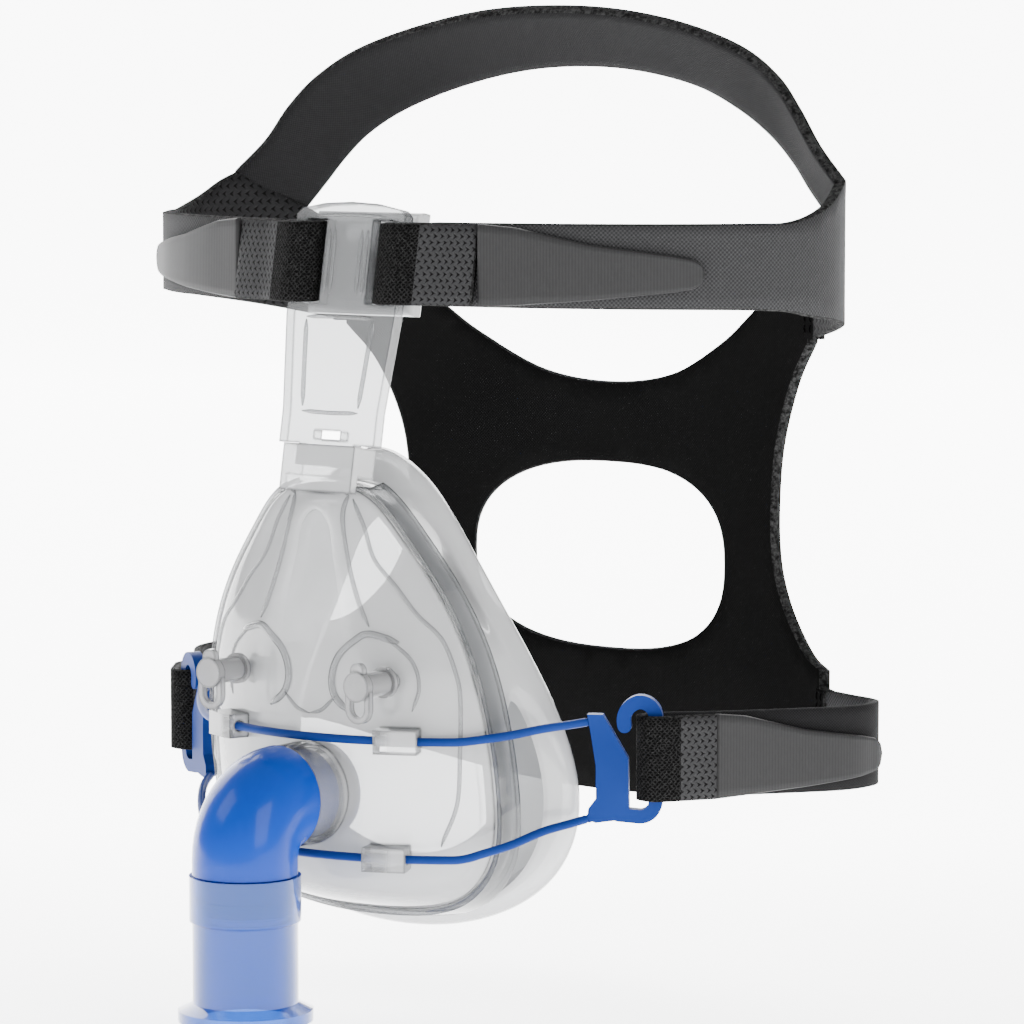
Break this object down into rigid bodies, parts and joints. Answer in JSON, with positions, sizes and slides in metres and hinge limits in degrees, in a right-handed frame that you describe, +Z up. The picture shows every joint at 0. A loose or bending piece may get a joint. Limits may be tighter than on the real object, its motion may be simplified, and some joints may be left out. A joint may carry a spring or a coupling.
{
  "type": "full-face breathing mask with headgear",
  "caption": "Clear full-face breathing mask with forehead support, turning elbow and hose connector, sliding strap frame and fabric headgear.",
  "frame": {"origin": "centre of the cushion's sealing plane, on the mid plane of the mask", "axes": "+X towards the wearer's left, +Y into the face, +Z up towards the crown of the head"},
  "size_m": [0.2054, 0.1631, 0.2331],
  "materials": {
    "clear_plastic": "clear rigid plastic, glossy",
    "clear_silicone": "clear silicone, soft sheen",
    "mid_blue_plastic": "smooth moulded plastic",
    "bright_blue_plastic": "opaque glossy moulded plastic",
    "pale_blue_plastic": "translucent glossy plastic",
    "black_laminate": "knitted fabric over foam",
    "grey_laminate": "woven fabric over foam",
    "grey_tab": "smooth soft tab"
  },
  "bodies": {
    "mask": {"mask_shell": "clear_plastic", "seal_frame": "clear_plastic", "cushion": "clear_silicone", "forehead_support": "clear_plastic", "forehead_pad": "clear_silicone", "back_panel": "black_laminate", "crown_strap": "grey_laminate", "upper_strap_left": "grey_laminate", "upper_strap_right": "grey_laminate", "upper_tab_left": "grey_tab", "upper_tab_right": "grey_tab", "lower_strap_left": "grey_laminate", "lower_strap_right": "grey_laminate", "lower_tab_left": "grey_tab", "lower_tab_right": "grey_tab"},
    "strap_glider": {"glider": "mid_blue_plastic"},
    "turning_elbow": {"elbow": "bright_blue_plastic"},
    "turning_tube": {"swivel_tube": "pale_blue_plastic"},
    "left_cap": {"port_cap_left": "clear_silicone"},
    "right_cap": {"port_cap_right": "clear_silicone"}
  },
  "joints": [
    {"name": "glider_slide", "type": "hinge", "parent": "mask", "child": "strap_glider", "pos_m": [0, 0.0236, -0.022], "axis": [0, 0, 1], "range_deg": [-5, 5], "deforming": ["lower_strap_left", "lower_strap_right", "lower_tab_left", "lower_tab_right"]},
    {"name": "elbow_turn", "type": "hinge", "parent": "mask", "child": "turning_elbow", "pos_m": [0, -0.0457, -0.0228], "axis": [0, -1, 0], "continuous": true},
    {"name": "tube_turn", "type": "hinge", "parent": "turning_elbow", "child": "turning_tube", "pos_m": [0, -0.0585, -0.045], "axis": [0, 0, 1], "continuous": true},
    {"name": "left_cap_pull", "type": "slide", "parent": "mask", "child": "left_cap", "axis": [0, -1, 0], "range_m": [0, 0.012]},
    {"name": "right_cap_pull", "type": "slide", "parent": "mask", "child": "right_cap", "axis": [0, -1, 0], "range_m": [0, 0.012]}
  ]
}
